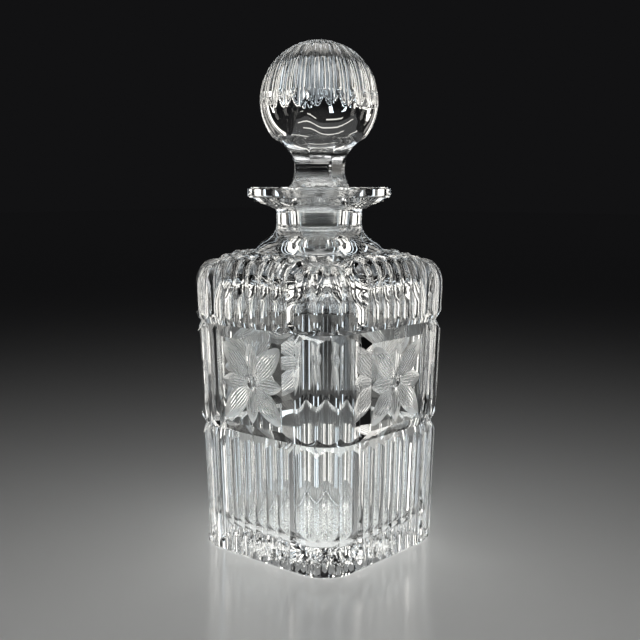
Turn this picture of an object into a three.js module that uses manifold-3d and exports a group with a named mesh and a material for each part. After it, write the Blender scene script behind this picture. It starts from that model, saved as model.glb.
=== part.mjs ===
// Square cut-crystal decanter with a solid ball stopper.
// Millimetres, +Z up. The origin is the centre of the foot's resting plane.
import * as THREE from 'three';
import { ParametricGeometry } from 'three/addons/geometries/ParametricGeometry.js';
import { mergeVertices } from 'three/addons/utils/BufferGeometryUtils.js';
import Module from 'manifold-3d';

const wasm = await Module();
wasm.setup();

// ---------------------------------------------------------------- driving dimensions

// Plan of the bottle: a square with rounded corners, measured at mid height.
const PLAN = { midHeight: 87, halfWidth: 48, cornerRadius: 20 };
const WALL_TAPER = 0.031; // growth of the half width for each millimetre of height

// Upright cuts. Positions run along the outline from the middle of a face.
const FLUTES = { perHalfFace: 3, perCorner: 3, segments: 4, faceDepth: 1.2, cornerDepth: 1.6 };
const MITRE = { position: 25, halfWidth: 2, depth: 2.5 };

// Level cuts, from the foot up.
const FOOT_BEVEL = { inset: 1.7, height: 2 };
const GROOVE = { lower: 61.5, upper: 112.3, halfHeight: 4.5, depth: 2.5 };
const PANEL_BEVEL_HEIGHT = 5;

// Rounded shoulder. It levels off at the crest, which is lower beyond the mitres, then rises
// gently to the collar.
const SHOULDER = { widest: 134, inset: 9, rise: 13, steps: 5 };
const CREST = { face: 145.9, faceEdge: 144.5, corner: 142.5 };
const COLLAR = { height: 146.2, radius: 31, saddleSteps: 2 };
const CUT_RUN_OUT = 9.5; // distance over which the upright cuts die away above the shoulder

// Flower cut into the panel on each face.
const FLOWER = { depth: 0.9, eyeRadius: 4, eyeDepth: 1, eyeSegments: 24 };
const PETALS = [
  { count: 4, firstAngle: Math.PI / 4, inner: 3.5, outer: 25.5, width: 9 },
  { count: 4, firstAngle: 0, inner: 3.5, outer: 18.5, width: 8 },
];

// Star cut under the foot.
const STAR = { rays: 16, inner: 3, outer: 37, width: 6.4, depth: 2 };
const RAY_OVERSIZE = 1.5;

// Collar, neck and lip, as radius and height.
const NECK_PROFILE = [
  [0, 139], [31.6, 139], [32, 144.7], [31.6, 146.6], [30.3, 148.6], [28.1, 150.8], [25.3, 152.9],
  [22.9, 154.9], [21.4, 157], [20.9, 159.5], [20.9, 164.5], [21.3, 166.7], [31.9, 170.6],
  [35.1, 173.1], [35.1, 175.6], [33.4, 177.4], [0, 177.4],
];
const LIP_TOP = 177.4;

// Inside of the bottle, as inset from the inner outline and height.
const CAVITY = { halfWidth: 39.5, cornerRadius: 16, floor: 11, columnsPerCorner: 6 };
const CAVITY_FLOOR_ROUND = { radius: 8, steps: 3 };
const CAVITY_SHOULDER = { start: 121, inset: 17, rise: 15, steps: 5 };
const CAVITY_THROAT = [[15, 139.5], [11.5, 143], [9.6, 146.5]];

// Ground plug, its seat and the bore around it.
const PLUG = { bottom: 147.4, bottomRadius: 9.5, top: 173.4, topRadius: 10.8, chamfer: 0.5 };
const SEAT_RADIUS = 14.8;
const FIT_GAP = 0.35;
const BORE_OVERRUN = 1; // height of the bore's cutter above the lip

// Stopper head.
const BALL = { radius: 28.6, centre: 218.6 };
const STEM_FACETS = { count: 8, waist: 186, waistRadius: 11.9, sweepRadius: 16 };
const BALL_FLUTES = { count: 24, segments: 3, start: 214, fullHeight: 222, depth: 1.15 };
const STEM_LEVELS = [179.5, 182.5, 186, 189.5, 193, 196, 198.5, 200.4, 202, 205, 209, 213];
const FLUTED_LEVELS = [216.5, 219, 222, 226, 230, 234, 237.5, 240.8, 243.4, 245.4, 246.7];

const NECK_SEGMENTS = 48;
const QUARTERS = 4;

// ---------------------------------------------------------------- solids

function toSolid(geometry) {
  const bare = new THREE.BufferGeometry();
  bare.setAttribute('position', geometry.getAttribute('position').clone());
  if (geometry.index) {
    bare.setIndex(geometry.index.clone());
  }
  const merged = mergeVertices(bare, 1e-4);
  const triangles = [];
  for (let i = 0; i < merged.index.count; i += 3) {
    const [a, b, c] = [0, 1, 2].map((k) => merged.index.getX(i + k));
    if (a !== b && b !== c && c !== a) {
      triangles.push(a, b, c);
    }
  }
  const mesh = new wasm.Mesh({
    numProp: 3,
    vertProperties: new Float32Array(merged.getAttribute('position').array),
    triVerts: new Uint32Array(triangles),
  });
  return new wasm.Manifold(mesh);
}

function toGeometry(solid) {
  const mesh = solid.getMesh();
  const geometry = new THREE.BufferGeometry();
  geometry.setAttribute('position', new THREE.BufferAttribute(mesh.vertProperties, 3));
  geometry.setIndex(new THREE.BufferAttribute(mesh.triVerts, 1));
  geometry.computeVertexNormals();
  return geometry;
}

// A closed surface through a ring of columns and a stack of rows. The first and the last row
// are single points on the axis.
function loft(columns, rows, pointAt) {
  const place = (u, v, target) => {
    const column = Math.round(u * columns) % columns;
    const row = Math.round(v * rows);
    target.copy(pointAt(column, row));
  };
  return new ParametricGeometry(place, columns, rows);
}

function lathe(profile, segments) {
  const points = profile.map(([radius, height]) => new THREE.Vector2(radius, height));
  return new THREE.LatheGeometry(points, segments).rotateX(Math.PI / 2);
}

// ---------------------------------------------------------------- outline of the bottle

function widthFactor(height) {
  return 1 + (WALL_TAPER * (height - PLAN.midHeight)) / PLAN.halfWidth;
}

// Point and outward normal on one quarter of a rounded square, from the middle of the face
// towards -Y to the middle of the face towards +X.
function quarterOutline(position, halfWidth, radius) {
  const straight = halfWidth - radius;
  const arc = (radius * Math.PI) / 2;
  if (position <= straight) {
    return { x: position, y: -halfWidth, nx: 0, ny: -1 };
  }
  if (position >= straight + arc) {
    return { x: halfWidth, y: position - arc - 2 * straight, nx: 1, ny: 0 };
  }
  const angle = (position - straight) / radius;
  const nx = Math.sin(angle);
  const ny = -Math.cos(angle);
  return { x: straight + radius * nx, y: -straight + radius * ny, nx, ny };
}

function quarterLength(halfWidth, radius) {
  return 2 * (halfWidth - radius) + (radius * Math.PI) / 2;
}

// Height at which the shoulder levels off, for a position along the outline.
function crestHeight(position) {
  const length = quarterLength(PLAN.halfWidth, PLAN.cornerRadius);
  const fromFace = Math.min(position, length - position);
  if (fromFace > MITRE.position) {
    return CREST.corner;
  }
  const edge = MITRE.position - MITRE.halfWidth;
  const lastFlute = edge / FLUTES.perHalfFace;
  const reach = Math.min(Math.max((fromFace - edge + lastFlute) / lastFlute, 0), 1);
  return CREST.face + (CREST.faceEdge - CREST.face) * reach;
}

function turned(point, quarter) {
  return point.applyAxisAngle(new THREE.Vector3(0, 0, 1), (quarter * Math.PI) / 2);
}

// ---------------------------------------------------------------- outer surface of the bottle

// Columns of one quarter. Each has a position, the depth of its flute or mitre, and, on the
// faces, how far it lies from the panel's edge (0) to the mitre's bottom (1).
function cutColumns() {
  const length = quarterLength(PLAN.halfWidth, PLAN.cornerRadius);
  const faceEdge = MITRE.position - MITRE.halfWidth;
  const cornerEdge = MITRE.position + MITRE.halfWidth;
  const fluteWidth = faceEdge / FLUTES.perHalfFace;
  const panelEdge = faceEdge - fluteWidth / 2;
  const slope = (position) => {
    const reach = (position - panelEdge) / (MITRE.position - panelEdge);
    return Math.min(Math.max(reach, 0), 1);
  };
  const columns = [];
  const addFlutes = (start, end, count, depth, mirrored) => {
    for (let i = 0; i < count * FLUTES.segments; i += 1) {
      const position = start + ((end - start) * i) / (count * FLUTES.segments);
      const across = (i % FLUTES.segments) / FLUTES.segments;
      const onFace = mirrored === null ? null : slope(mirrored ? length - position : position);
      columns.push({ position, cut: depth * 4 * across * (1 - across), slope: onFace });
    }
  };
  addFlutes(0, faceEdge, FLUTES.perHalfFace, FLUTES.faceDepth, false);
  columns.push({ position: faceEdge, cut: 0, slope: slope(faceEdge) });
  columns.push({ position: MITRE.position, cut: MITRE.depth, slope: 1 });
  addFlutes(cornerEdge, length - cornerEdge, FLUTES.perCorner, FLUTES.cornerDepth, null);
  columns.push({ position: length - cornerEdge, cut: 0, slope: null });
  columns.push({ position: length - MITRE.position, cut: MITRE.depth, slope: 1 });
  addFlutes(length - faceEdge, length, FLUTES.perHalfFace, FLUTES.faceDepth, true);
  return columns;
}

// Height at which a flute of the given depth runs out into the flank of a level V groove.
function grooveFlank(groove, side, cut) {
  return groove + side * GROOVE.halfHeight * (1 - cut / GROOVE.depth);
}

// Rows of the outer surface. Each row turns a column into its depth, height and inset, and
// into the tilt of the surface there, which is 0 on the wall and a right angle on the top.
function cutRows() {
  const wall = (height, cut) => ({ height, cut, inset: 0, tilt: 0 });
  const bevel = FOOT_BEVEL;
  const panelRow = (groove, side) => (column) => {
    if (column.slope === null) {
      return wall(grooveFlank(groove, side, column.cut), column.cut);
    }
    const height = groove + side * PANEL_BEVEL_HEIGHT * (1 - column.slope);
    return wall(height, GROOVE.depth * column.slope);
  };
  const rows = [
    (column) => wall(0, Math.max(bevel.inset, column.cut)),
    (column) => wall(bevel.height * Math.max(0, 1 - column.cut / bevel.inset), column.cut),
    (column) => wall(grooveFlank(GROOVE.lower, -1, column.cut), column.cut),
    () => wall(GROOVE.lower, GROOVE.depth),
    panelRow(GROOVE.lower, 1),
    panelRow(GROOVE.upper, -1),
    () => wall(GROOVE.upper, GROOVE.depth),
    (column) => wall(grooveFlank(GROOVE.upper, 1, column.cut), column.cut),
  ];
  for (let step = 0; step <= SHOULDER.steps; step += 1) {
    const tilt = ((Math.PI / 2) * step) / SHOULDER.steps;
    const inset = SHOULDER.inset * (1 - Math.cos(tilt));
    rows.push((column) => {
      const height = crestHeight(column.position) - SHOULDER.rise * (1 - Math.sin(tilt));
      return { height, cut: column.cut, inset, tilt };
    });
  }
  return rows;
}

// Point of one row on one column, in the first quarter.
function wallPoint(column, row) {
  const outline = quarterOutline(column.position, PLAN.halfWidth, PLAN.cornerRadius);
  const { height, cut, inset, tilt } = row(column);
  const factor = widthFactor(Math.min(height, SHOULDER.widest));
  const inward = inset + cut * Math.cos(tilt);
  const x = outline.x * factor - outline.nx * inward;
  const y = outline.y * factor - outline.ny * inward;
  return new THREE.Vector3(x, y, height - cut * Math.sin(tilt));
}

// Point between the rim of the shoulder (reach 0) and the collar (reach 1).
function saddlePoint(column, rim, reach) {
  const crest = crestHeight(column.position);
  const rimRadius = Math.hypot(rim.x, rim.y);
  const inwards = reach * (rimRadius - COLLAR.radius);
  const cut = column.cut * Math.max(0, 1 - inwards / CUT_RUN_OUT);
  const height = crest + (COLLAR.height - crest) * reach ** 2 - cut;
  const scale = 1 - inwards / rimRadius;
  return new THREE.Vector3(rim.x * scale, rim.y * scale, height);
}

function outerGeometry() {
  const columns = cutColumns();
  const rows = cutRows();
  const lastRow = rows.length + COLLAR.saddleSteps + 1;
  const pointAt = (index, row) => {
    if (row === 0) {
      return new THREE.Vector3(0, 0, 0);
    }
    if (row === lastRow) {
      return new THREE.Vector3(0, 0, COLLAR.height);
    }
    const quarter = Math.floor(index / columns.length);
    const column = columns[index % columns.length];
    const point = wallPoint(column, rows[Math.min(row, rows.length) - 1]);
    if (row <= rows.length) {
      return turned(point, quarter);
    }
    const reach = (row - rows.length) / COLLAR.saddleSteps;
    return turned(saddlePoint(column, point, reach), quarter);
  };
  return loft(columns.length * QUARTERS, lastRow, pointAt);
}

// ---------------------------------------------------------------- inside of the bottle

// Rows of the cavity, as inset and height, from the edge of the flat floor to the shoulder.
function cavityRows() {
  const rows = [];
  const round = CAVITY_FLOOR_ROUND;
  for (let step = 0; step <= round.steps; step += 1) {
    const angle = ((Math.PI / 2) * step) / round.steps;
    const inset = round.radius * (1 - Math.sin(angle));
    rows.push({ inset, height: CAVITY.floor + round.radius * (1 - Math.cos(angle)) });
  }
  const shoulder = CAVITY_SHOULDER;
  for (let step = 0; step <= shoulder.steps; step += 1) {
    const angle = ((Math.PI / 2) * step) / shoulder.steps;
    const inset = shoulder.inset * (1 - Math.cos(angle));
    rows.push({ inset, height: shoulder.start + shoulder.rise * Math.sin(angle) });
  }
  return rows;
}

function cavityColumns() {
  const straight = CAVITY.halfWidth - CAVITY.cornerRadius;
  const arc = (CAVITY.cornerRadius * Math.PI) / 2;
  const positions = [0, straight / 2];
  for (let i = 0; i <= CAVITY.columnsPerCorner; i += 1) {
    positions.push(straight + (arc * i) / CAVITY.columnsPerCorner);
  }
  positions.push(straight * 1.5 + arc);
  return positions;
}

function cavityGeometry() {
  const positions = cavityColumns();
  const rows = cavityRows();
  const throatRow = rows.length + 1;
  const lastRow = throatRow + CAVITY_THROAT.length;
  const topHeight = CAVITY_THROAT[CAVITY_THROAT.length - 1][1];
  const pointAt = (index, row) => {
    const quarter = Math.floor(index / positions.length);
    const position = positions[index % positions.length];
    const outline = quarterOutline(position, CAVITY.halfWidth, CAVITY.cornerRadius);
    if (row === 0) {
      return new THREE.Vector3(0, 0, CAVITY.floor);
    }
    if (row === lastRow) {
      return new THREE.Vector3(0, 0, topHeight);
    }
    if (row >= throatRow) {
      const [radius, height] = CAVITY_THROAT[row - throatRow];
      const reach = radius / Math.hypot(outline.x, outline.y);
      return turned(new THREE.Vector3(outline.x * reach, outline.y * reach, height), quarter);
    }
    const { inset, height } = rows[row - 1];
    const factor = widthFactor(height);
    const x = outline.x * factor - outline.nx * inset;
    const y = outline.y * factor - outline.ny * inset;
    return turned(new THREE.Vector3(x, y, height), quarter);
  };
  return loft(positions.length * QUARTERS, lastRow, pointAt);
}

// Tapered bore with a bevelled seat at the lip. It starts inside the cavity's throat.
function boreGeometry() {
  const slope = (PLUG.topRadius - PLUG.bottomRadius) / (PLUG.top - PLUG.bottom);
  const start = CAVITY_THROAT[0][1];
  const startRadius = PLUG.bottomRadius + FIT_GAP - slope * (PLUG.bottom - start);
  const seatSlope = (SEAT_RADIUS - PLUG.topRadius) / (LIP_TOP - PLUG.top);
  const above = LIP_TOP + BORE_OVERRUN;
  const profile = [
    [0, start], [startRadius, start], [PLUG.topRadius + FIT_GAP, PLUG.top],
    [SEAT_RADIUS + FIT_GAP + seatSlope * BORE_OVERRUN, above], [0, above],
  ];
  return lathe(profile, NECK_SEGMENTS);
}

// ---------------------------------------------------------------- cut decoration

// A wheel-cut ray: a four-sided point that cuts downwards to the given depth. Its outline on
// the surface z = 0 is a long diamond from inner to outer along +X. The point is made larger
// than the cut by RAY_OVERSIZE, so that its base stands clear above the surface.
function rayGeometry({ inner, outer, width, depth }) {
  const ray = new THREE.ConeGeometry(RAY_OVERSIZE, RAY_OVERSIZE, 4);
  ray.rotateX(-Math.PI / 2);
  ray.translate(0, 0, RAY_OVERSIZE / 2 - 1);
  ray.scale((outer - inner) / 2, width / 2, depth);
  ray.translate((inner + outer) / 2, 0, 0);
  return ray;
}

function flowerCutters() {
  const cutters = [];
  for (const petals of PETALS) {
    for (let i = 0; i < petals.count; i += 1) {
      const petal = rayGeometry({ ...petals, depth: FLOWER.depth });
      cutters.push(petal.rotateZ(petals.firstAngle + (i * 2 * Math.PI) / petals.count));
    }
  }
  const { eyeRadius, eyeDepth, eyeSegments } = FLOWER;
  const wheel = (eyeRadius ** 2 + eyeDepth ** 2) / (2 * eyeDepth);
  const eye = new THREE.SphereGeometry(wheel, eyeSegments, eyeSegments * 2 / 3);
  cutters.push(eye.translate(0, 0, wheel - eyeDepth));
  return cutters;
}

// Turns a cutter made on z = 0 so that it works on one tapered face of the bottle.
function toFace(cutter, quarter) {
  cutter.rotateX(Math.PI / 2 + Math.atan(WALL_TAPER));
  cutter.translate(0, -PLAN.halfWidth, PLAN.midHeight);
  return cutter.rotateZ((quarter * Math.PI) / 2);
}

function decanterBody() {
  let glass = toSolid(outerGeometry()).add(toSolid(lathe(NECK_PROFILE, NECK_SEGMENTS)));
  for (let quarter = 0; quarter < QUARTERS; quarter += 1) {
    for (const cutter of flowerCutters()) {
      glass = glass.subtract(toSolid(toFace(cutter, quarter)));
    }
  }
  for (let i = 0; i < STAR.rays; i += 1) {
    const ray = rayGeometry(STAR).rotateX(Math.PI);
    glass = glass.subtract(toSolid(ray.rotateZ((i * 2 * Math.PI) / STAR.rays)));
  }
  const inside = toSolid(cavityGeometry()).add(toSolid(boreGeometry()));
  return toGeometry(glass.subtract(inside));
}

// ---------------------------------------------------------------- stopper

// Radius of the stopper's head at one height and angle: ball or stem blank, less the ball's
// upright flutes, and cut down by the concave facets around the waist.
function headRadius(height, angle) {
  const level = height - BALL.centre;
  const ball = Math.sqrt(Math.max(BALL.radius ** 2 - level ** 2, 0));
  const blank = level < 0 ? Math.max(ball, SEAT_RADIUS) : ball;
  const flutePitch = (2 * Math.PI) / BALL_FLUTES.count;
  const across = 2 * ((angle / flutePitch) % 1) - 1;
  const rise = (height - BALL_FLUTES.start) / (BALL_FLUTES.fullHeight - BALL_FLUTES.start);
  const reach = Math.min(Math.max(rise, 0), 1);
  const flute = BALL_FLUTES.depth * (ball / BALL.radius) * Math.max(0, reach - across ** 2);
  const sweep = STEM_FACETS.sweepRadius;
  const fromWaist = Math.abs(height - STEM_FACETS.waist);
  if (fromWaist >= sweep) {
    return blank - flute;
  }
  const facetPitch = (2 * Math.PI) / STEM_FACETS.count;
  const fromFacet = ((angle + facetPitch / 2) % facetPitch) - facetPitch / 2;
  const facet = STEM_FACETS.waistRadius + sweep - Math.sqrt(sweep ** 2 - fromWaist ** 2);
  return Math.min(blank - flute, facet / Math.cos(fromFacet));
}

function stopperGeometry() {
  const columns = BALL_FLUTES.count * BALL_FLUTES.segments;
  const levels = [...STEM_LEVELS, ...FLUTED_LEVELS];
  const plug = [
    [PLUG.bottomRadius - PLUG.chamfer, PLUG.bottom], [PLUG.bottomRadius, PLUG.bottom + PLUG.chamfer],
    [PLUG.topRadius, PLUG.top], [SEAT_RADIUS, LIP_TOP],
  ];
  const lastRow = plug.length + levels.length + 1;
  const pointAt = (column, row) => {
    if (row === 0) {
      return new THREE.Vector3(0, 0, PLUG.bottom);
    }
    if (row === lastRow) {
      return new THREE.Vector3(0, 0, BALL.centre + BALL.radius);
    }
    const angle = (column * 2 * Math.PI) / columns;
    let [radius, height] = plug[row - 1] ?? [0, 0];
    if (row > plug.length) {
      height = levels[row - plug.length - 1];
      radius = headRadius(height, angle);
    }
    return new THREE.Vector3(radius * Math.cos(angle), radius * Math.sin(angle), height);
  };
  return toGeometry(toSolid(loft(columns, lastRow, pointAt)));
}

// ---------------------------------------------------------------- assembly

function crystalMesh(name, geometry, roughness) {
  const material = new THREE.MeshStandardMaterial({ color: 0xe8eeee, roughness, metalness: 0 });
  const mesh = new THREE.Mesh(geometry, material);
  mesh.name = name;
  return mesh;
}

const decanter = new THREE.Group();
decanter.add(crystalMesh('decanter_body', decanterBody(), 0.03));
decanter.add(crystalMesh('stopper', stopperGeometry(), 0.05));

export default decanter;
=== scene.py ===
import math

import bmesh
import bpy
import numpy as np
from mathutils import Euler, Matrix, Vector


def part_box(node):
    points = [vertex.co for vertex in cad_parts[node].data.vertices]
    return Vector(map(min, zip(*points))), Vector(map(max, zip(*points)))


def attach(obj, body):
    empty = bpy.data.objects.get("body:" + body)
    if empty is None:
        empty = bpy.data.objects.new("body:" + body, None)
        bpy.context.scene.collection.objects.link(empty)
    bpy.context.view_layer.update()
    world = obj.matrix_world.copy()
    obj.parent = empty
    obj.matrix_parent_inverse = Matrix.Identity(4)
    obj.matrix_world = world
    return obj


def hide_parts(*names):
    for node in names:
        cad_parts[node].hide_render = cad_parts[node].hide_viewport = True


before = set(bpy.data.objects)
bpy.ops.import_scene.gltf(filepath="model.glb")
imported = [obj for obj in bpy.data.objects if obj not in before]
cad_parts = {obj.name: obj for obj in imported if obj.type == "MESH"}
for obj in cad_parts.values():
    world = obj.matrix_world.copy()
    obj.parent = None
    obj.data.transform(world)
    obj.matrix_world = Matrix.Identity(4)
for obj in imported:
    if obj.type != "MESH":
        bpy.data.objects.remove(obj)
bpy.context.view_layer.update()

MM = 0.001
QUARTERS = 4
QUARTER_TURN = math.pi / 2


# ------------------------------------------------------------------ sizes, in millimetres
def node_heights(node):
    """Lowest and highest point of a CAD node."""
    return [round(corner.z / MM, 3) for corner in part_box(node)]


FOOT, LIP_TOP = node_heights("decanter_body")
PLUG_BOTTOM, BALL_TOP = node_heights("stopper")

# Plan of the bottle: a square with rounded corners, measured at mid height.
MID_HEIGHT = 87.0
HALF_WIDTH = 48.0
CORNER_RADIUS = 20.0
WALL_TAPER = 0.031  # growth of the half width for each millimetre of height
QUARTER_LENGTH = 2 * (HALF_WIDTH - CORNER_RADIUS) + CORNER_RADIUS * QUARTER_TURN

# Upright cuts. Their places run along the outline from the middle of a face.
FACE_FLUTES = 3  # on each half of a face
CORNER_FLUTES = 3
FLUTE_STEPS = 10
FACE_FLUTE_DEPTH = 1.2
CORNER_FLUTE_DEPTH = 1.6
MITRE = 25.0
MITRE_HALF = 2.0
MITRE_DEPTH = 2.5
FACE_EDGE = MITRE - MITRE_HALF
CORNER_EDGE = MITRE + MITRE_HALF
FACE_FLUTE_WIDTH = FACE_EDGE / FACE_FLUTES

# Level cuts, from the foot up, and the panel between the two grooves.
FOOT_INSET = 1.7
FOOT_HEIGHT = 2.0
LOWER_GROOVE = 61.5
UPPER_GROOVE = 112.3
GROOVE_HALF = 4.5
GROOVE_DEPTH = 2.5
BEVEL_HEIGHT = 5.0
PANEL_HALF = FACE_EDGE - FACE_FLUTE_WIDTH / 2

# Rounded shoulder. It levels off at the crest, which is lower beyond the mitres, then rises
# gently to the collar.
WIDEST = 134.0
SHOULDER_INSET = 9.0
SHOULDER_RISE = 13.0
SHOULDER_STEPS = 12
CREST_FACE = 145.9
CREST_EDGE = 144.5
CREST_CORNER = 142.5
COLLAR_HEIGHT = 146.2
COLLAR_RADIUS = 31.0
SADDLE_STEPS = 8
CUT_RUN_OUT = 9.5  # distance over which the upright cuts die away above the shoulder

# Collar, neck and lip, as radius and height.
NECK_FOOT = (31.6, 139)
COLLAR_CURVE = [(32, 144.7), (31.6, 146.6), (30.3, 148.6), (28.1, 150.8), (25.3, 152.9),
                (22.9, 154.9), (21.4, 157), (20.9, 159.5), (20.9, 164.5), (21.3, 166.7)]
CURVE_STEPS = 6
LIP_EDGE = [(31.9, 170.6), (34.5, 172.4), (35.0, 173), (35.1, 173.5), (35.1, 176.3),
            (34.9, 176.8), (34.3, 177.3), (33.7, LIP_TOP)]
LATHE_SEGMENTS = 144

# Inside of the bottle: a square with rounded corners, then a round throat.
CAVITY_HALF = 39.5
CAVITY_CORNER = 16.0
CAVITY_FACE_COLUMNS = 6
CAVITY_CORNER_COLUMNS = 16
CAVITY_FLOOR = 11.0
CAVITY_FLOOR_RADIUS = 8
CAVITY_FLOOR_STEPS = 8
CAVITY_SHOULDER = 121
CAVITY_SHOULDER_INSET = 17
CAVITY_SHOULDER_RISE = 15
CAVITY_SHOULDER_STEPS = 14
THROAT = [(15, 139.5), (11.5, 143), (9.6, 146.5)]

# Ground plug, its seat and the bore around it.
PLUG_TOP = 173.4
PLUG_FOOT_RADIUS = 9.5
PLUG_HEAD_RADIUS = 10.8
PLUG_CHAMFER = 0.5
PLUG_SLOPE = (PLUG_HEAD_RADIUS - PLUG_FOOT_RADIUS) / (PLUG_TOP - PLUG_BOTTOM)
SEAT_RADIUS = 14.8
SEAT_SLOPE = (SEAT_RADIUS - PLUG_HEAD_RADIUS) / (LIP_TOP - PLUG_TOP)
FIT_GAP = 0.35
BORE_OVERRUN = 1  # height of the bore's cutter above the lip
GROUND_FROM = 160.0  # plug and bore are ground matt from here to the lip, and darkened there by a grey tint of painted shade
BORE_MARGIN = 1  # a face of the bore lies less than this beyond the seat's radius
LIP_MARGIN = 0.01  # and more than this below the lip's top

# Stopper head: a waist with flat facets, and a ball with flutes on its upper part.
BALL_RADIUS = 28.6
BALL_CENTRE = BALL_TOP - BALL_RADIUS
WAIST = 186.0
WAIST_RADIUS = 11.9
SWEEP_RADIUS = 16.0
STEM_SIDES = 8
BALL_FLUTES = 24
BALL_FLUTE_START = 214.0
BALL_FLUTE_FULL = 222.0
BALL_FLUTE_DEPTH = 1.15
COLUMNS_PER_FLUTE = 12
STEM_RING_PITCH = 0.7
BALL_RING_PITCH = 0.9
CROWN_START = 236  # the crown's rings are spaced by angle, those below it by height
CROWN_RINGS = 18

# Flower cut into each panel: four long petals, four short ones and an oval eye.
LONG_PETAL = {"turn": math.pi / 4, "inner": 2.6, "outer": 25.6, "half": 5.6, "lines": 7, "rows": 28}
SHORT_PETAL = {"turn": 0.0, "inner": 2.6, "outer": 18.9, "half": 4.2, "lines": 5, "rows": 22}
PETAL_DEPTH = 0.75
PETAL_LEAN = 0.85  # below 1, a petal is widest nearer to the eye
PETAL_FULLNESS = 0.62  # below 1, its ends are blunter
PETAL_NARROWING = 1.5  # a petal gets shallow once it is this many times narrower than its widest
PETAL_END_ANGLE = 0.03  # keeps its first and last row off the very tips
PETAL_LEAST_HALF = 0.03
EYE_HALF_WIDTH = 2.6
EYE_HALF_HEIGHT = 3.6
EYE_DEPTH = 1.0
EYE_ROWS = 15
EYE_COLUMNS = 13
EYE_END = 0.995  # keeps its first and last row off the very tips

# Fine lines along a petal. Places across it run from -1 to 1, and places along it from 0 to 1.
LINE_HALF = 0.26
LINE_DEPTH = 0.28
LINE_SPREAD = 1.7
LINE_START = 0.05
LINE_FADE = 0.25
MIDDLE_LINE_END = 0.96
OUTER_LINE_LOSS = 0.30
LINE_FLANK_SHARE = 0.42  # a line's flank takes no more than this share of the gap to the next

# Depths behind the panel's surface. Each hollow is cut by a solid that starts outside it, and a
# face this far behind it belongs to the flower.
PRESS_CLEAR = -0.03
PRESS_BACK = -1.5
HOLLOW_FROM = 0.015
HOLLOW_TO = 2.2
FLOWER_HALF_HEIGHT = 20.6
MATT_LINE_DEPTH = 0.08  # the petal is fully matt where its lines are shallower than this

# Star cut under the foot, with a short ray between each two long ones.
STAR_RAYS = 16
LONG_RAY = {"inner": 3.0, "outer": 37.0, "width": 6.4, "depth": 2.0}
SHORT_RAY = {"inner": 17, "outer": 35, "width": 3.2, "depth": 1.0}
STAR_COLUMNS_PER_RAY = 16
STAR_RINGS = 60
STAR_CENTRE_RADIUS = 0.6
STAR_RIM = 1
STAR_SHALLOWEST = 0.01
STAR_CLEAR = -0.3  # height of the cutter's upper side between the rays
STAR_BACK = -3.0
STAR_BACK_RADIUS = LONG_RAY["outer"] * 1.03

BOTTLE_SMOOTH_ANGLE = 14
STOPPER_SMOOTH_ANGLE = 16


# ------------------------------------------------------------------ materials
CRYSTAL_IOR = 1.545
GRINDING_SCALE = (40, 40, 1100)  # the grinding marks are long round the plug and fine up it
GRINDING_DETAIL = 2.0
GRINDING_HEIGHT = 0.0002


def glass(name, roughness, tint=(0.985, 0.995, 0.993), grinding=0.0):
    """Lead crystal. Grinding is the strength of the level marks that a ground joint has."""
    mat = bpy.data.materials.new(name)
    mat.use_nodes = True
    shader = mat.node_tree.nodes["Principled BSDF"]
    shader.inputs["Base Color"].default_value = (*tint, 1)
    shader.inputs["Roughness"].default_value = roughness
    shader.inputs["IOR"].default_value = CRYSTAL_IOR
    shader.inputs["Transmission Weight"].default_value = 1.0
    if grinding:
        add_grinding(mat, shader, grinding)
    return mat


def add_grinding(mat, shader, strength):
    """Fine level marks, as bump."""
    nodes = mat.node_tree.nodes
    links = mat.node_tree.links
    place = nodes.new("ShaderNodeTexCoord")
    spread = nodes.new("ShaderNodeMapping")
    spread.inputs["Scale"].default_value = GRINDING_SCALE
    grain = nodes.new("ShaderNodeTexNoise")
    grain.inputs["Scale"].default_value = 1.0
    grain.inputs["Detail"].default_value = GRINDING_DETAIL
    bump = nodes.new("ShaderNodeBump")
    bump.inputs["Strength"].default_value = strength
    bump.inputs["Distance"].default_value = GRINDING_HEIGHT
    links.new(place.outputs["Object"], spread.inputs["Vector"])
    links.new(spread.outputs["Vector"], grain.inputs["Vector"])
    links.new(grain.outputs["Fac"], bump.inputs["Height"])
    links.new(bump.outputs["Normal"], shader.inputs["Normal"])


CLEAR = glass("clear_crystal", roughness=0.0)
FROST = glass("matt_petals", roughness=0.42, tint=(0.84, 0.85, 0.85))
LINES = glass("matt_lines", roughness=0.24, tint=(0.96, 0.97, 0.97))
# The ground glass is really ground and rough; its darker grey tint is painted shade, because the
# crystal casts no shadow on it.
GROUND_AND_PAINTED_SHADE = glass("ground_plug_and_painted_shade", roughness=0.2, tint=(0.8, 0.82, 0.82), grinding=1.0)

BOTTLE_GLASS = (CLEAR, FROST, GROUND_AND_PAINTED_SHADE, LINES)
STOPPER_GLASS = (CLEAR, GROUND_AND_PAINTED_SHADE)


# ------------------------------------------------------------------ mesh helpers
MERGE_DISTANCE = 1e-7  # metres


def mesh_object(name, verts, faces, materials=(CLEAR,)):
    """An object from points in millimetres."""
    mesh = bpy.data.meshes.new(name)
    mesh.from_pydata([tuple(v) for v in np.asarray(verts, float) * MM], [], faces)
    for mat in materials:
        mesh.materials.append(mat)
    obj = bpy.data.objects.new(name, mesh)
    bpy.context.scene.collection.objects.link(obj)
    close_and_face_outward(obj)
    return obj


def close_and_face_outward(obj):
    work = bmesh.new()
    work.from_mesh(obj.data)
    bmesh.ops.remove_doubles(work, verts=work.verts, dist=MERGE_DISTANCE)
    bmesh.ops.recalc_face_normals(work, faces=work.faces)
    work.to_mesh(obj.data)
    work.free()


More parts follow.
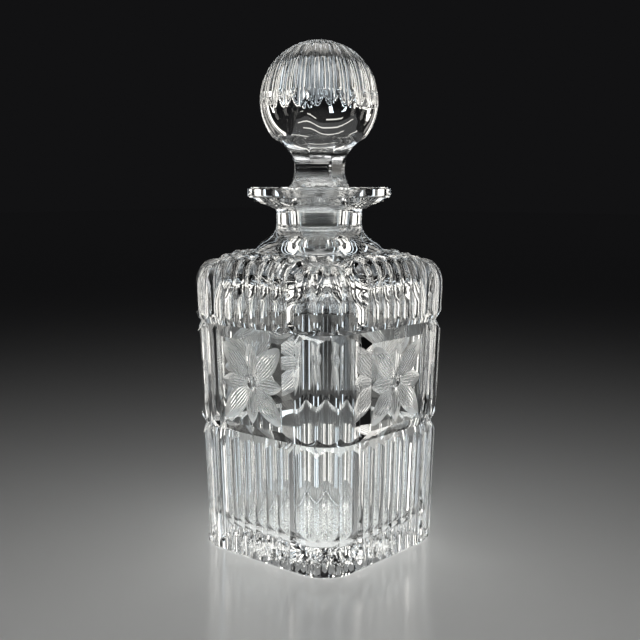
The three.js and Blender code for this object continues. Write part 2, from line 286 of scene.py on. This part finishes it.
def grid_solid(name, rings, materials=(CLEAR,)):
    """Closed solid through rings of points, with a point on the axis at each end."""
    rings = np.asarray(rings, float)
    count, around = rings.shape[:2]
    verts = list(rings.reshape(-1, 3))
    verts.append(np.append(np.zeros(2), rings[0, :, 2].mean()))
    verts.append(np.append(np.zeros(2), rings[-1, :, 2].mean()))
    low = len(verts) - 2
    high = len(verts) - 1
    top = (count - 1) * around
    faces = []
    for j in range(around):
        k = (j + 1) % around
        for i in range(count - 1):
            faces.append((i * around + j, i * around + k, (i + 1) * around + k, (i + 1) * around + j))
        faces.append((low, k, j))
        faces.append((high, top + j, top + k))
    return mesh_object(name, verts, faces, materials)


def eased(profile):
    """The profile with a smooth curve through its points."""
    pts = np.array([profile[0], *profile, profile[-1]], float)
    out = []
    for a, b, c, d in zip(pts, pts[1:], pts[2:], pts[3:]):
        for k in range(CURVE_STEPS):
            t = k / CURVE_STEPS
            out.append(tuple(0.5 * (2 * b + (c - a) * t + (2 * a - 5 * b + 4 * c - d) * t ** 2
                                    + (3 * b - 3 * c + d - a) * t ** 3)))
    return out + [profile[-1]]


def circle(radius, height, turn):
    """Points at the given angles round the axis. The radius and height may vary with the angle."""
    return np.stack([radius * np.cos(turn), radius * np.sin(turn), np.full(turn.size, height)], 1)


def full_turn(count):
    return np.linspace(0, 2 * math.pi, count, endpoint=False)


def lathe_solid(name, profile):
    turn = full_turn(LATHE_SEGMENTS)
    return grid_solid(name, [circle(radius, height, turn) for radius, height in profile])


def combine(obj, other, operation):
    """Joins the other solid to the object, or cuts it away, and removes it."""
    cut = obj.modifiers.new("cut", "BOOLEAN")
    cut.operation = operation
    cut.solver = "MANIFOLD"
    cut.object = other
    graph = bpy.context.evaluated_depsgraph_get()
    result = bpy.data.meshes.new_from_object(obj.evaluated_get(graph), depsgraph=graph)
    obj.modifiers.remove(cut)
    old = obj.data
    obj.data = result
    bpy.data.meshes.remove(old)
    bpy.data.objects.remove(other, do_unlink=True)


def smooth(obj, degrees):
    """Smooth shading, with every edge sharper than the angle left crisp."""
    obj.data.polygons.foreach_set("use_smooth", [True] * len(obj.data.polygons))
    obj.data.set_sharp_from_angle(angle=math.radians(degrees))


# ------------------------------------------------------------------ walls of the bottle
def width_factor(height):
    """How much wider than at mid height the tapered wall is."""
    return 1 + WALL_TAPER * (height - MID_HEIGHT) / HALF_WIDTH


def outline(position, half, radius):
    """Point and outward normal on one quarter of a rounded square, from face to face."""
    straight = half - radius
    arc = radius * QUARTER_TURN
    if position <= straight:
        return position, -half, 0.0, -1.0
    if position >= straight + arc:
        return half, position - arc - 2 * straight, 1.0, 0.0
    angle = (position - straight) / radius
    nx = math.sin(angle)
    ny = -math.cos(angle)
    return straight + radius * nx, -straight + radius * ny, nx, ny


def four_turns(quarter_points):
    """Rings of points all round the axis, from the columns of one quarter."""
    block = np.array(quarter_points, float).transpose(1, 0, 2)
    x, y, z = block[:, :, 0], block[:, :, 1], block[:, :, 2]
    turns = []
    for quarter in range(QUARTERS):
        c = round(math.cos(quarter * QUARTER_TURN))
        s = round(math.sin(quarter * QUARTER_TURN))
        turns.append(np.stack([c * x - s * y, s * x + c * y, z], 2))
    return np.concatenate(turns, axis=1)


def cut_columns():
    """Place, depth of cut and bevel of every upright column of one quarter.

    The bevel is 0 at the panel's edge and 1 at the mitre, and None round the corner.
    """
    columns = []

    def bevel(position):
        near = min(position, QUARTER_LENGTH - position)
        return min(max((near - PANEL_HALF) / (MITRE - PANEL_HALF), 0), 1)

    def flutes(start, end, count, depth, on_face):
        steps = count * FLUTE_STEPS
        for i in range(steps):
            position = start + (end - start) * i / steps
            t = (i % FLUTE_STEPS) / FLUTE_STEPS
            columns.append((position, depth * 4 * t * (1 - t), bevel(position) if on_face else None))

    flutes(0, FACE_EDGE, FACE_FLUTES, FACE_FLUTE_DEPTH, True)
    columns.append((FACE_EDGE, 0.0, bevel(FACE_EDGE)))
    columns.append((MITRE, MITRE_DEPTH, 1.0))
    flutes(CORNER_EDGE, QUARTER_LENGTH - CORNER_EDGE, CORNER_FLUTES, CORNER_FLUTE_DEPTH, False)
    columns.append((QUARTER_LENGTH - CORNER_EDGE, 0.0, None))
    columns.append((QUARTER_LENGTH - MITRE, MITRE_DEPTH, 1.0))
    flutes(QUARTER_LENGTH - FACE_EDGE, QUARTER_LENGTH, FACE_FLUTES, FACE_FLUTE_DEPTH, True)
    return columns


def crest_height(position):
    """The crest drops over the last flute before the mitre, and is level beyond it."""
    near = min(position, QUARTER_LENGTH - position)
    if near > MITRE:
        return CREST_CORNER
    reach = min(max((near - FACE_EDGE + FACE_FLUTE_WIDTH) / FACE_FLUTE_WIDTH, 0), 1)
    return CREST_FACE + (CREST_EDGE - CREST_FACE) * reach


def wall_levels(position, cut, bevel):
    """Height, cut, inset and tilt of every level of one column, from the foot to the crest."""
    def flank(groove, side):
        return groove + side * GROOVE_HALF * (1 - cut / GROOVE_DEPTH)

    def panel(groove, side):
        if bevel is None:
            return flank(groove, side), cut, 0, 0
        return groove + side * BEVEL_HEIGHT * (1 - bevel), GROOVE_DEPTH * bevel, 0, 0

    levels = [
        (FOOT, max(FOOT_INSET, cut), 0, 0),
        (FOOT + FOOT_HEIGHT * max(0, 1 - cut / FOOT_INSET), cut, 0, 0),
        (flank(LOWER_GROOVE, -1), cut, 0, 0),
        (LOWER_GROOVE, GROOVE_DEPTH, 0, 0),
        panel(LOWER_GROOVE, 1),
        panel(UPPER_GROOVE, -1),
        (UPPER_GROOVE, GROOVE_DEPTH, 0, 0),
        (flank(UPPER_GROOVE, 1), cut, 0, 0),
    ]
    crest = crest_height(position)
    for step in range(SHOULDER_STEPS + 1):
        tilt = QUARTER_TURN * step / SHOULDER_STEPS
        height = crest - SHOULDER_RISE * (1 - math.sin(tilt))
        levels.append((height, cut, SHOULDER_INSET * (1 - math.cos(tilt)), tilt))
    return levels


def wall_column(position, cut, bevel):
    """The points of one column, up the wall, over the shoulder and in to the collar."""
    x0, y0, nx, ny = outline(position, HALF_WIDTH, CORNER_RADIUS)
    points = []
    for height, depth, inset, tilt in wall_levels(position, cut, bevel):
        factor = width_factor(min(height, WIDEST))
        inward = inset + depth * math.cos(tilt)
        points.append((x0 * factor - nx * inward, y0 * factor - ny * inward,
                       height - depth * math.sin(tilt)))
    x, y, _ = points[-1]
    rim = math.hypot(x, y)
    crest = crest_height(position)
    for step in range(1, SADDLE_STEPS + 1):
        reach = step / SADDLE_STEPS
        inwards = reach * (rim - COLLAR_RADIUS)
        cut_left = cut * max(0, 1 - inwards / CUT_RUN_OUT)
        height = crest + (COLLAR_HEIGHT - crest) * reach ** 2 - cut_left
        points.append((x * (1 - inwards / rim), y * (1 - inwards / rim), height))
    return points


# ------------------------------------------------------------------ inside of the bottle
def cavity_positions():
    """Places of the columns along one quarter of the inner outline."""
    straight = CAVITY_HALF - CAVITY_CORNER
    arc = CAVITY_CORNER * QUARTER_TURN
    face = [straight * k / CAVITY_FACE_COLUMNS for k in range(CAVITY_FACE_COLUMNS)]
    corner = [straight + arc * k / CAVITY_CORNER_COLUMNS for k in range(CAVITY_CORNER_COLUMNS)]
    return face + corner + [straight + arc + position for position in face]


def cavity_levels():
    """Inset and height of every level, from the floor to the top of the shoulder."""
    levels = []
    for k in range(CAVITY_FLOOR_STEPS + 1):
        angle = QUARTER_TURN * k / CAVITY_FLOOR_STEPS
        levels.append((CAVITY_FLOOR_RADIUS * (1 - math.sin(angle)),
                       CAVITY_FLOOR + CAVITY_FLOOR_RADIUS * (1 - math.cos(angle))))
    for k in range(CAVITY_SHOULDER_STEPS + 1):
        angle = QUARTER_TURN * k / CAVITY_SHOULDER_STEPS
        levels.append((CAVITY_SHOULDER_INSET * (1 - math.cos(angle)),
                       CAVITY_SHOULDER + CAVITY_SHOULDER_RISE * math.sin(angle)))
    return levels


def cavity_solid():
    columns = []
    for position in cavity_positions():
        x0, y0, nx, ny = outline(position, CAVITY_HALF, CAVITY_CORNER)
        points = []
        for inset, height in cavity_levels():
            factor = width_factor(height)
            points.append((x0 * factor - nx * inset, y0 * factor - ny * inset, height))
        for radius, height in THROAT:
            reach = radius / math.hypot(x0, y0)
            points.append((x0 * reach, y0 * reach, height))
        columns.append(points)
    return grid_solid("inside", four_turns(columns))


def bore_solid():
    """The tapered bore and the bevelled seat, from inside the throat to above the lip."""
    start = THROAT[0][1]
    foot = PLUG_FOOT_RADIUS + FIT_GAP - PLUG_SLOPE * (PLUG_BOTTOM - start)
    rim = SEAT_RADIUS + FIT_GAP + SEAT_SLOPE * BORE_OVERRUN
    profile = [(foot, start), (PLUG_HEAD_RADIUS + FIT_GAP, PLUG_TOP), (rim, LIP_TOP + BORE_OVERRUN)]
    return lathe_solid("bore", profile)


# ------------------------------------------------------------------ flower in the panels
def half_width(petal, t):
    """Half the petal's width, at a share t of its length."""
    return petal["half"] * np.sin(math.pi * np.clip(t, 0, 1) ** PETAL_LEAN) ** PETAL_FULLNESS


def line_places(petal):
    """Where the fine lines lie across the petal, from -1 at one edge to 1 at the other."""
    count = petal["lines"]
    return [(k - (count - 1) / 2) / count * LINE_SPREAD for k in range(count)]


def line_strength(place, t):
    """From 0 to 1: a line starts by the eye and fades out, sooner at the petal's edges."""
    end = MIDDLE_LINE_END - OUTER_LINE_LOSS * abs(place)
    return np.clip((end - t) / LINE_FADE, 0, 1) * np.clip(t / LINE_START, 0, 1)


def petal_grid(petal):
    """Points along and across one petal, with their depth; the fine lines run along the grid."""
    t = (1 - np.cos(np.linspace(PETAL_END_ANGLE, math.pi - PETAL_END_ANGLE, petal["rows"]))) / 2
    half = np.maximum(half_width(petal, t), PETAL_LEAST_HALF)
    places = line_places(petal)
    flank = np.minimum(LINE_HALF / half, LINE_FLANK_SHARE * (places[1] - places[0]))
    columns = [(np.full_like(t, -1.0), None)]
    for k, place in enumerate(places):
        line = LINE_DEPTH * line_strength(place, t)
        columns += [(place - flank, None), (np.full_like(t, place), line), (place + flank, None)]
        if k + 1 < len(places):
            columns.append((np.full_like(t, (place + places[k + 1]) / 2), None))
    columns.append((np.full_like(t, 1.0), None))
    across = np.stack([place for place, _ in columns], 1)
    depth = PETAL_DEPTH * (1 - across ** 2)
    depth *= np.minimum(1, half / petal["half"] * PETAL_NARROWING)[:, None]
    for k, (_, line) in enumerate(columns):
        if line is not None:
            depth[:, k] += line
    depth[:, [0, -1]] = PRESS_CLEAR
    along = petal["inner"] + (petal["outer"] - petal["inner"]) * t
    return np.broadcast_to(along[:, None], across.shape), across * half[:, None], depth


def eye_grid():
    """Points of the oval eye, with their depth."""
    t = np.linspace(-EYE_END, EYE_END, EYE_ROWS)[:, None]
    across = np.linspace(-1, 1, EYE_COLUMNS)[None, :]
    depth = EYE_DEPTH * (1 - t ** 2) * (1 - across ** 2)
    depth[:, [0, -1]] = PRESS_CLEAR
    x = EYE_HALF_WIDTH * across * np.sqrt(1 - t ** 2)
    return x, EYE_HALF_HEIGHT * t * np.ones_like(across), depth


def pressed_solid(x, z, depth, quarter):
    """A hollow as a solid that is pressed into the panel of one face."""
    rows, cols = x.shape
    verts = np.stack([x.ravel(), depth.ravel(), z.ravel()], 1)
    faces = [(j * cols + i, j * cols + i + 1, (j + 1) * cols + i + 1, (j + 1) * cols + i)
             for j in range(rows - 1) for i in range(cols - 1)]
    rim = list(range(cols))
    rim += [j * cols + cols - 1 for j in range(1, rows)]
    rim += [(rows - 1) * cols + i for i in range(cols - 2, -1, -1)]
    rim += [j * cols for j in range(rows - 2, 0, -1)]
    start = len(verts)
    count = len(rim)
    back = np.array([(verts[i][0], PRESS_BACK, verts[i][2]) for i in rim])
    for k in range(count):
        m = (k + 1) % count
        faces.append((rim[k], start + k, start + m, rim[m]))
    faces.append(tuple(start + k for k in range(count)))
    tilt = Matrix.Rotation(math.atan(WALL_TAPER), 3, "X")
    turn = Matrix.Rotation(quarter * QUARTER_TURN, 3, "Z")
    panel_middle = Vector((0, -HALF_WIDTH, MID_HEIGHT))
    placed = [turn @ (tilt @ Vector(v) + panel_middle) for v in np.concatenate([verts, back])]
    return mesh_object("hollow", [tuple(v) for v in placed], faces)


def flower_cutter(quarter):
    """The eye and the eight petals of one face, joined."""
    flower = pressed_solid(*eye_grid(), quarter)
    for petal in (LONG_PETAL, SHORT_PETAL):
        along, across, depth = petal_grid(petal)
        for k in range(QUARTERS):
            angle = petal["turn"] + k * QUARTER_TURN
            x = along * math.cos(angle) - across * math.sin(angle)
            z = along * math.sin(angle) + across * math.cos(angle)
            combine(flower, pressed_solid(x, z, depth, quarter), "UNION")
    return flower


def line_depth(x, z):
    """Depth of the fine lines at points of the panel."""
    lines = np.zeros_like(x)
    radius = np.hypot(x, z)
    for petal in (SHORT_PETAL, LONG_PETAL):
        angle = np.arctan2(z, x) - petal["turn"]
        off = (angle + QUARTER_TURN / 2) % QUARTER_TURN - QUARTER_TURN / 2
        along = radius * np.cos(off)
        across = radius * np.sin(off)
        t = (along - petal["inner"]) / (petal["outer"] - petal["inner"])
        half = half_width(petal, t)
        found = np.zeros_like(x)
        for place in line_places(petal):
            near = np.clip(1 - np.abs(across - place * half) / LINE_HALF, 0, 1)
            found = np.maximum(found, LINE_DEPTH * line_strength(place, t) * near)
        lines = np.where((t > 0) & (t < 1) & (np.abs(across) < half), found, lines)
    return lines


# ------------------------------------------------------------------ star under the foot
def star_cutter():
    """A disc under the foot whose upper side carries the star."""
    around = STAR_RAYS * STAR_COLUMNS_PER_RAY
    turn = full_turn(around)
    radii = np.linspace(STAR_CENTRE_RADIUS, LONG_RAY["outer"] + STAR_RIM, STAR_RINGS)
    angle, radius = np.meshgrid(turn, radii)
    pitch = 2 * math.pi / STAR_RAYS

    def ray_depth(ray, first):
        off = (angle - first + pitch / 2) % pitch - pitch / 2
        along = radius * np.cos(off)
        across = radius * np.sin(off)
        reach = 1 - np.abs(2 * along - ray["inner"] - ray["outer"]) / (ray["outer"] - ray["inner"])
        return ray["depth"] * (reach - np.abs(across) / (ray["width"] / 2))

    depth = np.maximum(ray_depth(LONG_RAY, 0), ray_depth(SHORT_RAY, pitch / 2))
    depth = np.where(depth > STAR_SHALLOWEST, depth, STAR_CLEAR)
    rings = [circle(STAR_BACK_RADIUS, STAR_BACK, turn)]
    for j in range(STAR_RINGS - 1, -1, -1):
        rings.append(circle(radii[j], depth[j], turn))
    return grid_solid("cutter", rings)


# ------------------------------------------------------------------ the bottle
def build_bottle():
    body = grid_solid("crystal_bottle", four_turns([wall_column(*column) for column in cut_columns()]))
    combine(body, lathe_solid("neck", [NECK_FOOT] + eased(COLLAR_CURVE) + LIP_EDGE), "UNION")
    inside = cavity_solid()
    combine(inside, bore_solid(), "UNION")
    combine(body, inside, "DIFFERENCE")
    for quarter in range(QUARTERS):
        combine(body, flower_cutter(quarter), "DIFFERENCE")
    combine(body, star_cutter(), "DIFFERENCE")
    finish_bottle(body)
    return body


def finish_bottle(body):
    """Polished everywhere, except the petals, their fine lines and the ground bore, whose darker tint
    is painted shade.
    """
    mesh = body.data
    mesh.materials.clear()
    for mat in BOTTLE_GLASS:
        mesh.materials.append(mat)
    count = len(mesh.polygons)
    centre = np.empty(count * 3)
    mesh.polygons.foreach_get("center", centre)
    centre = centre.reshape(-1, 3) / MM
    index = np.zeros(count, int)
    for quarter in range(QUARTERS):
        matt, shallow = petal_faces(centre, quarter)
        index[matt & shallow] = BOTTLE_GLASS.index(FROST)
        index[matt & ~shallow] = BOTTLE_GLASS.index(LINES)
    radius = np.hypot(centre[:, 0], centre[:, 1])
    height = centre[:, 2]
    bore = (radius < SEAT_RADIUS + BORE_MARGIN) & (height > GROUND_FROM)
    bore &= height < LIP_TOP - LIP_MARGIN
    index[bore] = BOTTLE_GLASS.index(GROUND_AND_PAINTED_SHADE)
    mesh.polygons.foreach_set("material_index", index)
    smooth(body, BOTTLE_SMOOTH_ANGLE)
    sharpen_between_materials(mesh)


def petal_faces(centre, quarter):
    """Which faces lie in the petals of one panel, and which faces lie off its fine lines."""
    c = math.cos(-quarter * QUARTER_TURN)
    s = math.sin(-quarter * QUARTER_TURN)
    tilt = math.atan(WALL_TAPER)
    x = c * centre[:, 0] - s * centre[:, 1]
    y = s * centre[:, 0] + c * centre[:, 1] + HALF_WIDTH
    z = centre[:, 2] - MID_HEIGHT
    inward = y * math.cos(tilt) + z * math.sin(tilt)
    up = -y * math.sin(tilt) + z * math.cos(tilt)
    hollow = (inward > HOLLOW_FROM) & (inward < HOLLOW_TO)
    on_panel = (np.abs(x) < PANEL_HALF) & (np.abs(up) < FLOWER_HALF_HEIGHT)
    eye = (x / EYE_HALF_WIDTH) ** 2 + (up / EYE_HALF_HEIGHT) ** 2 < 1
    return hollow & on_panel & ~eye, line_depth(x, up) < MATT_LINE_DEPTH


def sharpen_between_materials(mesh):
    work = bmesh.new()
    work.from_mesh(mesh)
    for edge in work.edges:
        faces = edge.link_faces
        if len(faces) == 2 and faces[0].material_index != faces[1].material_index:
            edge.smooth = False
    work.to_mesh(mesh)
    work.free()


# ------------------------------------------------------------------ the stopper
def head_radius(height, angle):
    """Radius of the stopper above the lip, at a height and an angle round the axis."""
    level = height - BALL_CENTRE
    ball = math.sqrt(max(BALL_RADIUS ** 2 - level ** 2, 0))
    blank = max(ball, SEAT_RADIUS) if level < 0 else ball
    across = 2 * ((angle / (2 * math.pi / BALL_FLUTES)) % 1) - 1
    rise = min(max((height - BALL_FLUTE_START) / (BALL_FLUTE_FULL - BALL_FLUTE_START), 0), 1)
    radius = blank - BALL_FLUTE_DEPTH * ball / BALL_RADIUS * max(0, rise - across ** 2)
    from_waist = abs(height - WAIST)
    if from_waist < SWEEP_RADIUS:
        pitch = 2 * math.pi / STEM_SIDES
        from_facet = (angle + pitch / 2) % pitch - pitch / 2
        facet = WAIST_RADIUS + SWEEP_RADIUS - math.sqrt(SWEEP_RADIUS ** 2 - from_waist ** 2)
        radius = min(radius, facet / math.cos(from_facet))
    return radius


def head_levels():
    """Heights of the stopper's rings above the lip."""
    stem = np.arange(LIP_TOP + STEM_RING_PITCH, BALL_FLUTE_START, STEM_RING_PITCH)
    ball = np.arange(BALL_FLUTE_START, CROWN_START, BALL_RING_PITCH)
    low = math.asin((CROWN_START - BALL_CENTRE) / BALL_RADIUS)
    crown = [BALL_CENTRE + BALL_RADIUS * math.sin(low + (QUARTER_TURN - low) * k / CROWN_RINGS)
             for k in range(CROWN_RINGS)]
    return [*stem, *ball, *crown]


def build_stopper():
    turn = full_turn(BALL_FLUTES * COLUMNS_PER_FLUTE)
    ground_radius = PLUG_FOOT_RADIUS + PLUG_SLOPE * (GROUND_FROM - PLUG_BOTTOM)
    plug = [(PLUG_FOOT_RADIUS - PLUG_CHAMFER, PLUG_BOTTOM),
            (PLUG_FOOT_RADIUS, PLUG_BOTTOM + PLUG_CHAMFER),
            (ground_radius, GROUND_FROM),
            (PLUG_HEAD_RADIUS, PLUG_TOP),
            (SEAT_RADIUS, LIP_TOP)]
    rings = [circle(radius, height, turn) for radius, height in plug]
    for height in head_levels():
        radius = np.array([head_radius(height, angle) for angle in turn])
        rings.append(circle(radius, height, turn))
    stopper = grid_solid("ball_stopper", rings, STOPPER_GLASS)
    for polygon in stopper.data.polygons:
        if GROUND_FROM < polygon.center.z / MM < LIP_TOP:
            polygon.material_index = STOPPER_GLASS.index(GROUND_AND_PAINTED_SHADE)
    smooth(stopper, STOPPER_SMOOTH_ANGLE)
    return stopper


bottle = build_bottle()
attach(bottle, "bottle")
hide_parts("decanter_body")

stopper = build_stopper()
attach(stopper, "stopper")
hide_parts("stopper")


# ------------------------------------------------------------------ studio, in metres and watts
AZIMUTH = math.radians(40.9)  # of the camera, turned from straight in front of a face
TOWARDS = Vector((math.sin(AZIMUTH), -math.cos(AZIMUTH), 0))
RIGHT = Vector((math.cos(AZIMUTH), math.sin(AZIMUTH), 0))
UP = Vector((0, 0, 1))

FLOOR_SIZE = 12
FLOOR_DROP = 0.0002  # keeps the floor's surface apart from the foot's
FLOOR_COLOUR = (0.72, 0.72, 0.71, 1)
FLOOR_ROUGHNESS = 0.14
DARK_WORLD = (0.006, 0.006, 0.0065, 1)

WARM = (1.0, 0.97, 0.91)
COOL = (0.84, 0.93, 1.0)
WHITE = (1, 1, 1)
MIDDLE = Vector((0, 0, 0.15))
SHOULDERS = Vector((0, 0, 0.2))
BALL = Vector((0, 0, 0.22))


def studio(right, towards, up):
    """A place as the camera sees it: to its right, towards it, and above the floor."""
    return RIGHT * right + TOWARDS * towards + UP * up


def make_floor():
    bpy.ops.mesh.primitive_plane_add(size=FLOOR_SIZE, location=(0, 0, -FLOOR_DROP))
    floor = bpy.context.object
    floor.name = "floor"
    mat = bpy.data.materials.new("pale_floor")
    mat.use_nodes = True
    shader = mat.node_tree.nodes["Principled BSDF"]
    shader.inputs["Base Color"].default_value = FLOOR_COLOUR
    shader.inputs["Roughness"].default_value = FLOOR_ROUGHNESS
    floor.data.materials.append(mat)
    return floor


def softbox(name, place, aim, width, height, power, spread=180, colour=WHITE):
    light = bpy.data.lights.new(name, "AREA")
    light.color = colour
    light.shape = "RECTANGLE"
    light.spread = math.radians(spread)
    light.size = width
    light.size_y = height
    light.energy = power
    obj = bpy.data.objects.new(name, light)
    obj.location = place
    obj.rotation_euler = (aim - place).to_track_quat("-Z", "Y").to_euler()
    bpy.context.scene.collection.objects.link(obj)
    return obj


def lit_group(name, *pieces):
    group = bpy.data.collections.new(name)
    for piece in pieces:
        group.objects.link(piece)
    return group


def crystal_light(name, lit, place, aim, width, height, power, colour=WHITE):
    """A light for the crystal alone, seen only in it."""
    light = softbox(name, place, aim, width, height, power, colour=colour)
    light.light_linking.receiver_collection = lit
    light.visible_camera = False


def strip_pairs(name, lit, angles, distance, width, height, power, colour=WHITE):
    """Upright strips that stand on the floor, in pairs, at angles from straight behind."""
    middle = height / 2
    for angle in angles:
        for side in (-1, 1):
            across = side * distance * math.sin(math.radians(angle))
            towards = -distance * math.cos(math.radians(angle))
            crystal_light(f"{name}_{side * angle}", lit, studio(across, towards, middle),
                          UP * middle, width, height, power, colour)


def light_bottle(lit):
    """Tall strips all round give the bright cuts; low ones round the foot reach the lower band."""
    strip_pairs("tall", lit, (44, 62, 84, 110), distance=0.5,
                width=0.09, height=0.62, power=0.35, colour=WARM)
    strip_pairs("slim", lit, (22, 33), distance=0.4,
                width=0.016, height=0.5, power=0.04, colour=COOL)
    strip_pairs("low_warm", lit, (14, 90), distance=0.078,
                width=0.006, height=0.042, power=0.0032, colour=WARM)
    strip_pairs("low_cool", lit, (42, 68, 125, 160), distance=0.078,
                width=0.006, height=0.042, power=0.002, colour=COOL)


def light_stopper(lit):
    """Strips for the ball's flutes, and level arcs for its clear lower half."""
    strip_pairs("side", lit, (46, 62, 84, 110), distance=0.5,
                width=0.07, height=0.5, power=0.2, colour=WARM)
    strip_pairs("fine", lit, (5, 13), distance=0.4,
                width=0.006, height=0.27, power=0.014, colour=COOL)
    strip_pairs("wide", lit, (22, 33), distance=0.4,
                width=0.018, height=0.27, power=0.05, colour=WARM)
    power_per_width = 0.022
    for up, width in ((0.32, 0.12), (0.37, 0.4), (0.42, 0.2), (0.5, 0.6), (0.62, 0.4)):
        crystal_light(f"arc_{up}", lit, studio(0, -0.5, up), BALL,
                      width=width, height=0.008, power=power_per_width * width, colour=WARM)


def light_crystal(lit):
    """Soft boxes behind, above, in front and at the sides, for both pieces."""
    crystal_light("high", lit, studio(0, -0.6, 0.65), SHOULDERS, width=0.8, height=0.6, power=0.08)
    crystal_light("top", lit, studio(0, -0.25, 0.8), MIDDLE,
                  width=0.6, height=0.35, power=1.1, colour=WARM)
    for side in (-1, 1):
        crystal_light(f"front_{side}", lit, studio(side * 0.35, 0.4, 0.55), MIDDLE,
                      width=0.4, height=0.4, power=1.0, colour=COOL)
        crystal_light(f"fill_{side}", lit, studio(side * 0.9, 0, 0.5), MIDDLE,
                      width=1.2, height=1.0, power=0.4)
    crystal_light("fill_top", lit, studio(0, 0, 1.3), MIDDLE, width=1.2, height=1.2, power=0.5)


def light_floor():
    softbox("pool", studio(0, 0.5, 0.65), studio(0, 0.2, 0),
            width=0.5, height=0.5, power=0.75, spread=90)


def make_world():
    world = bpy.data.worlds.new("studio")
    world.use_nodes = True
    world.node_tree.nodes["Background"].inputs["Color"].default_value = DARK_WORLD
    world.node_tree.nodes["Background"].inputs["Strength"].default_value = 1.0
    bpy.context.scene.world = world


def make_camera():
    camera_data = bpy.data.cameras.new("camera")
    camera_data.sensor_width = 36
    camera_data.lens = 57.17
    camera_data.shift_x = 0.00125
    camera_data.clip_start = 0.02
    camera = bpy.data.objects.new("camera", camera_data)
    distance = 0.5
    eye_height = 0.1774
    looking_down = math.radians(7.455)
    camera.location = studio(0, distance, eye_height)
    camera.rotation_euler = Euler((math.radians(90) - looking_down, 0, AZIMUTH))
    bpy.context.scene.collection.objects.link(camera)
    bpy.context.scene.camera = camera


make_floor()
crystal = lit_group("crystal", bottle, stopper)
bottle_only = lit_group("bottle_only", bottle)
stopper_only = lit_group("stopper_only", stopper)
for piece in (bottle, stopper):
    piece.visible_shadow = False  # the floor and the ground glass are lit through the crystal
light_bottle(bottle_only)
light_stopper(stopper_only)
light_crystal(crystal)
light_floor()
make_world()
make_camera()

scene = bpy.context.scene
scene.view_settings.view_transform = "Standard"
scene.cycles.use_denoising = True
scene.cycles.max_bounces = 20
scene.cycles.transmission_bounces = 20
